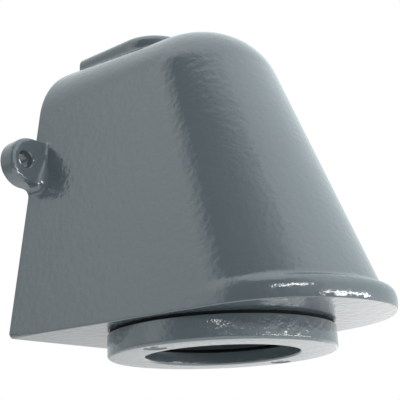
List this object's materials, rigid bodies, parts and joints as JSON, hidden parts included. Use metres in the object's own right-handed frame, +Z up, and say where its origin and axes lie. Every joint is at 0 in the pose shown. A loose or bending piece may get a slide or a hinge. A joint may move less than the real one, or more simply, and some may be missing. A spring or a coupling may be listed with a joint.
{
  "type": "outdoor wall light",
  "caption": "Small cast wall downlight: arched hood with a flat open back, side fixing lugs, a crown pad for a conduit and a screwed lens ring underneath.",
  "frame": {"origin": "midway between the two fixing holes, on the flat back face that lies against the wall", "axes": "+Z up, +Y into the wall, -Y out from the wall, X along the wall; the light leaves downwards"},
  "size_m": [0.1264, 0.134, 0.147],
  "materials": {
    "hood_paint": "gloss textured powder coat",
    "ring_paint": "gloss textured powder coat",
    "seal_rubber": "matt",
    "lens_glass": "clear, toughened",
    "screw_steel": "stainless, satin",
    "reflector_aluminium": "bright, faceted inside",
    "lamp_glass": "clear",
    "lamp_ceramic": "unglazed, white",
    "holder_ceramic": "unglazed, white",
    "pin_steel": "plated",
    "bracket_steel": "zinc plated",
    "plate_aluminium": "mill finish",
    "rivet_aluminium": "plain",
    "terminal_plastic": "moulded",
    "terminal_brass": "plated brass",
    "tag_brass": "tinned brass",
    "lead_brown": "silicone sleeve",
    "lead_blue": "silicone sleeve",
    "lead_green": "green and yellow sleeve",
    "plug_plastic": "moulded nylon"
  },
  "bodies": {
    "root": {"hood": "hood_paint", "lens_ring": "ring_paint", "ring_gasket": "seal_rubber", "lens_gasket": "seal_rubber", "lens_glass": "lens_glass", "ring_screws": "screw_steel", "lamp_reflector": "reflector_aluminium", "lamp_front_glass": "lamp_glass", "lamp_base": "lamp_ceramic", "lamp_pins": "pin_steel", "lamp_holder": "holder_ceramic", "holder_bracket": "bracket_steel", "holder_screws": "screw_steel", "bracket_rivets": "rivet_aluminium", "back_plate": "plate_aluminium", "back_gasket": "seal_rubber", "back_plate_screws": "screw_steel", "cable_grommet": "seal_rubber", "terminal_block": "terminal_plastic", "terminal_clamp_screws": "terminal_brass", "terminal_block_screws": "screw_steel", "earth_tag": "tag_brass", "earth_screw": "terminal_brass", "lead_live": "lead_brown", "lead_neutral": "lead_blue", "lead_earth": "lead_green", "entry_plug": "plug_plastic", "entry_plug_seal": "seal_rubber"}
  },
  "joints": []
}
